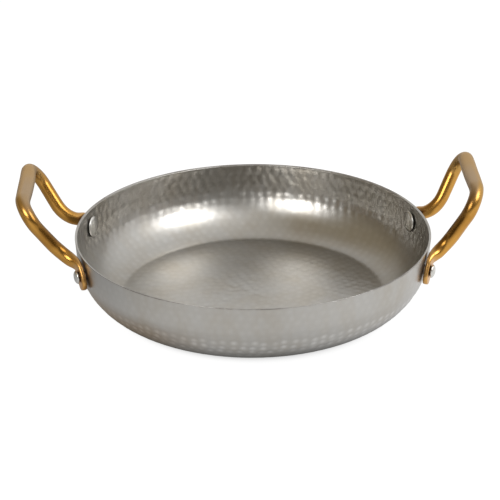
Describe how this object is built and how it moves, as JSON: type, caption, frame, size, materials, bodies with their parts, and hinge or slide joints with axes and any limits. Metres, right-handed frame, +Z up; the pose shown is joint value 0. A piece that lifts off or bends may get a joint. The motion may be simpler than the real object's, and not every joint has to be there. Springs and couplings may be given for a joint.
{
  "type": "two-handled pan",
  "caption": "Shallow round hammered metal pan with a flat base, curved lower wall and two upright brass bar handles riveted to opposite sides of the rim.",
  "frame": {"origin": "centre of the flat underside of the base, on the surface that the pan stands on", "axes": "+Z up through the open mouth, +X towards the right handle, +Y away from the viewer to the rear"},
  "size_m": [0.3077, 0.24, 0.0929],
  "materials": {
    "pan_metal": "hammered and satin, slightly aged",
    "brass": "polished by hand, darker in the bends",
    "rivet_metal": "hammered heads, satin"
  },
  "bodies": {
    "root": {"pan_body": "pan_metal", "handle_right": "brass", "handle_left": "brass", "rivet_right_front": "rivet_metal", "rivet_right_rear": "rivet_metal", "rivet_left_front": "rivet_metal", "rivet_left_rear": "rivet_metal"}
  },
  "joints": []
}
